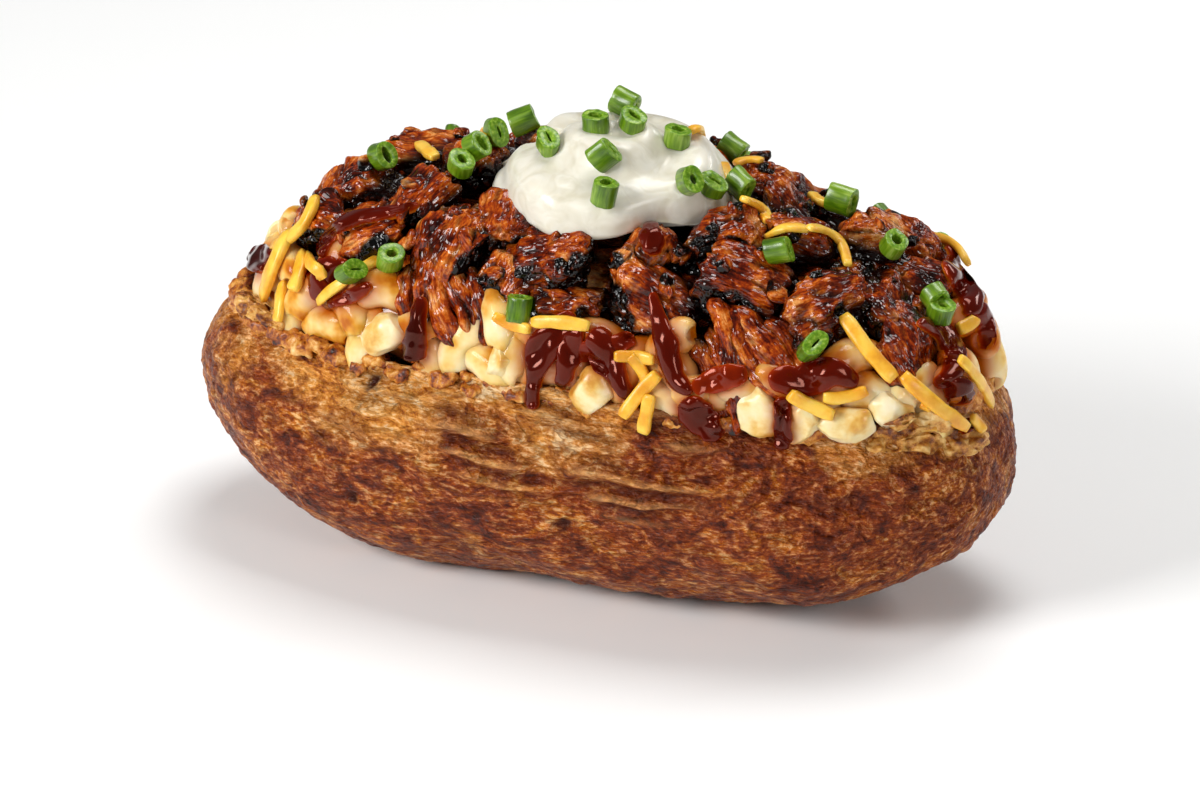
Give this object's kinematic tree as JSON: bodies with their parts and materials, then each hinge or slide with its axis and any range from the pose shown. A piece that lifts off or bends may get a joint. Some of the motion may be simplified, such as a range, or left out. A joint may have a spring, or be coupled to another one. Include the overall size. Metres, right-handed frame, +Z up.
{
  "type": "loaded baked potato",
  "caption": "Baked potato opened along its top and filled with macaroni cheese, under a heap of glazed chopped brisket, sour cream, cheddar shreds and cut spring onion.",
  "frame": {"origin": "middle of the small flat spot under the potato, on the surface it rests on", "axes": "+X along the potato, towards its fuller-topped end; +Z up; the side with the long sauce runs faces -Y"},
  "size_m": [0.1861, 0.0847, 0.1051],
  "materials": {
    "potato_skin": "baked russet skin, lightly oiled, wrinkled and scorched in patches",
    "macaroni_cheese": "wet pasta and melted cheese, smooth and slightly translucent",
    "brisket": "smoked meat with charred bark under a glossy barbecue glaze",
    "sour_cream": "soft white cream with a moist sheen",
    "cheddar": "shredded cheddar, waxy",
    "spring_onion": "fresh cut green onion, satin outside and pale inside",
    "barbecue_sauce": "thick sauce with a wet gloss, red-brown where thin",
    "potato_flesh": "fluffy cooked potato, browned at the torn edge"
  },
  "bodies": {
    "root": {"brisket_01": "brisket", "brisket_02": "brisket", "brisket_03": "brisket", "brisket_04": "brisket", "brisket_05": "brisket", "brisket_06": "brisket", "brisket_07": "brisket", "brisket_08": "brisket", "brisket_09": "brisket", "brisket_10": "brisket", "brisket_11": "brisket", "brisket_12": "brisket", "brisket_13": "brisket", "brisket_14": "brisket", "brisket_15": "brisket", "brisket_16": "brisket", "brisket_17": "brisket", "brisket_18": "brisket", "brisket_19": "brisket", "brisket_20": "brisket", "brisket_21": "brisket", "brisket_22": "brisket", "brisket_23": "brisket", "brisket_24": "brisket", "brisket_25": "brisket", "brisket_26": "brisket", "brisket_27": "brisket", "brisket_28": "brisket", "brisket_29": "brisket", "brisket_30": "brisket", "brisket_31": "brisket", "brisket_32": "brisket", "brisket_33": "brisket", "brisket_34": "brisket", "brisket_35": "brisket", "brisket_core": "brisket", "macaroni_cheese": "macaroni_cheese", "potato": "potato_skin", "sour_cream": "sour_cream"}
  },
  "joints": []
}
